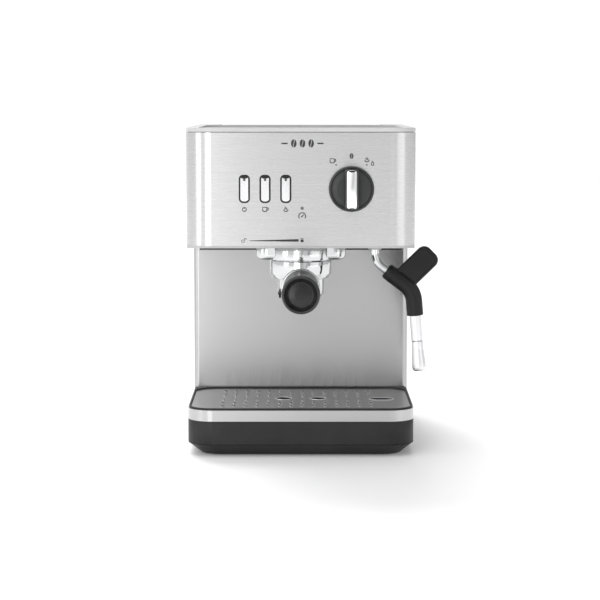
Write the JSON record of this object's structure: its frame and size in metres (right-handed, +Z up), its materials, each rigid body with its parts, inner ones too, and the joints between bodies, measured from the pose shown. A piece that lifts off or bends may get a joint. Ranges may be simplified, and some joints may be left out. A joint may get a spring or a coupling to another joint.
{
  "type": "espresso machine",
  "caption": "Home pump espresso machine with a steel head and column, locking filter holder, swinging steam wand, drip tray with grid, and a lift-out water tank at the back.",
  "frame": {"origin": "middle of the whole footprint, handle and steam wand counted in, on the worktop", "axes": "+Z up, the front with the knob and the filter holder's handle faces -Y, +X to the user's right"},
  "size_m": [0.2489, 0.3675, 0.323],
  "materials": {
    "steel_skin": "brushed up and down",
    "steel_sheet": "fine satin",
    "silver_plastic": "silver, satin",
    "grey_plastic": "fine matte",
    "black_plastic": "fine matte",
    "black_gloss": "polished",
    "silicone": "soft matte",
    "foot_rubber": "matte",
    "chrome": "bright",
    "clear_tank": "smoked clear",
    "boiler_metal": "cast",
    "brass": "machined",
    "zinc_steel": "plated",
    "board_green": "solder mask",
    "hose": "translucent silicone",
    "lens": "unlit amber lens"
  },
  "bodies": {
    "machine": {"base_platform": "black_plastic", "rubber_feet": "foot_rubber", "base_screws": "zinc_steel", "chassis_frame": "black_plastic", "column_panel": "steel_skin", "head_panel": "steel_skin", "head_underside": "grey_plastic", "head_bracket": "zinc_steel", "rear_housing": "black_plastic", "tank_bay": "black_plastic", "cable_inlet": "black_plastic", "top_frame": "silver_plastic", "cup_plate": "steel_sheet", "button_surround": "black_plastic", "ready_lamp": "lens", "switch_board": "board_green", "steam_valve": "brass", "group_collar": "chrome", "group_gasket": "silicone", "shower_screen": "steel_sheet", "boiler_lower": "boiler_metal", "boiler_upper": "boiler_metal", "group_screws": "zinc_steel", "thermostats": "black_plastic", "wand_socket": "grey_plastic", "tank_socket": "black_plastic", "pump_core": "zinc_steel", "pump_coil": "black_plastic", "pump_mounts": "black_plastic", "water_hoses": "hose", "steam_pipes": "brass"},
    "steam_knob": {"knob": "black_plastic", "knob_bar": "chrome", "valve_stem": "brass"},
    "power_button": {"button_power": "chrome", "button_power_lens": "lens"},
    "brew_button": {"button_brew": "chrome", "button_brew_lens": "lens"},
    "steam_button": {"button_steam": "chrome", "button_steam_lens": "lens"},
    "portafilter": {"filter_holder": "chrome", "filter_basket": "steel_sheet", "basket_spring": "zinc_steel", "spout_block": "black_plastic", "handle_ferrule": "chrome", "handle_grip": "black_plastic", "handle_cap": "black_gloss", "handle_stud": "zinc_steel"},
    "basket_lever": {"filter_lever": "black_plastic"},
    "wand": {"steam_tube": "chrome", "wand_grip": "silicone", "frother_sleeve": "chrome"},
    "frother": {"frother_nozzle": "chrome"},
    "tray": {"drip_tray": "black_plastic", "tray_band": "steel_sheet"},
    "grid": {"tray_grid": "steel_sheet"},
    "tank": {"water_tank": "clear_tank", "tank_valve": "black_plastic", "lid_pins": "zinc_steel"},
    "lid": {"tank_lid": "black_plastic"}
  },
  "joints": [
    {"name": "steam_turn", "type": "hinge", "parent": "machine", "child": "steam_knob", "pos_m": [0.0377, -0.1102, 0.264], "axis": [0, 1, 0], "range_deg": [-33, 33]},
    {"name": "power_press", "type": "slide", "parent": "machine", "child": "power_button", "axis": [0, 1, 0], "range_m": [0, 0.0025], "stiffness_N_per_m": 400, "springref_m": -0.0025},
    {"name": "brew_press", "type": "slide", "parent": "machine", "child": "brew_button", "axis": [0, 1, 0], "range_m": [0, 0.0025], "stiffness_N_per_m": 400, "springref_m": -0.0025},
    {"name": "steam_press", "type": "slide", "parent": "machine", "child": "steam_button", "axis": [0, 1, 0], "range_m": [0, 0.0025], "stiffness_N_per_m": 400, "springref_m": -0.0025},
    {"name": "portafilter_turn", "type": "hinge", "parent": "machine", "child": "portafilter", "pos_m": [-0.0114, -0.0362, 0.195], "axis": [0, 0, 1], "range_deg": [-50, 0]},
    {"name": "lever_flip", "type": "hinge", "parent": "portafilter", "child": "basket_lever", "pos_m": [-0.0311, -0.0672, 0.158], "axis": [-1, 0, 0], "range_deg": [0, 88]},
    {"name": "wand_swing", "type": "hinge", "parent": "machine", "child": "wand", "pos_m": [0.0621, -0.0702, 0.205], "axis": [0, 0, 1], "range_deg": [-90, 15]},
    {"name": "frother_pull", "type": "slide", "parent": "wand", "child": "frother", "axis": [0.0842, 0, -0.9965], "range_m": [0, 0.035]},
    {"name": "tray_pull", "type": "slide", "parent": "machine", "child": "tray", "axis": [0, -1, 0], "range_m": [0, 0.15]},
    {"name": "grid_lift", "type": "slide", "parent": "tray", "child": "grid", "axis": [0, 0, 1], "range_m": [0, 0.03]},
    {"name": "tank_lift", "type": "slide", "parent": "machine", "child": "tank", "axis": [0, 0, 1], "range_m": [0, 0.215]},
    {"name": "lid_open", "type": "hinge", "parent": "tank", "child": "lid", "pos_m": [-0.0114, 0.1746, 0.315], "axis": [-1, 0, 0], "range_deg": [0, 95]}
  ]
}
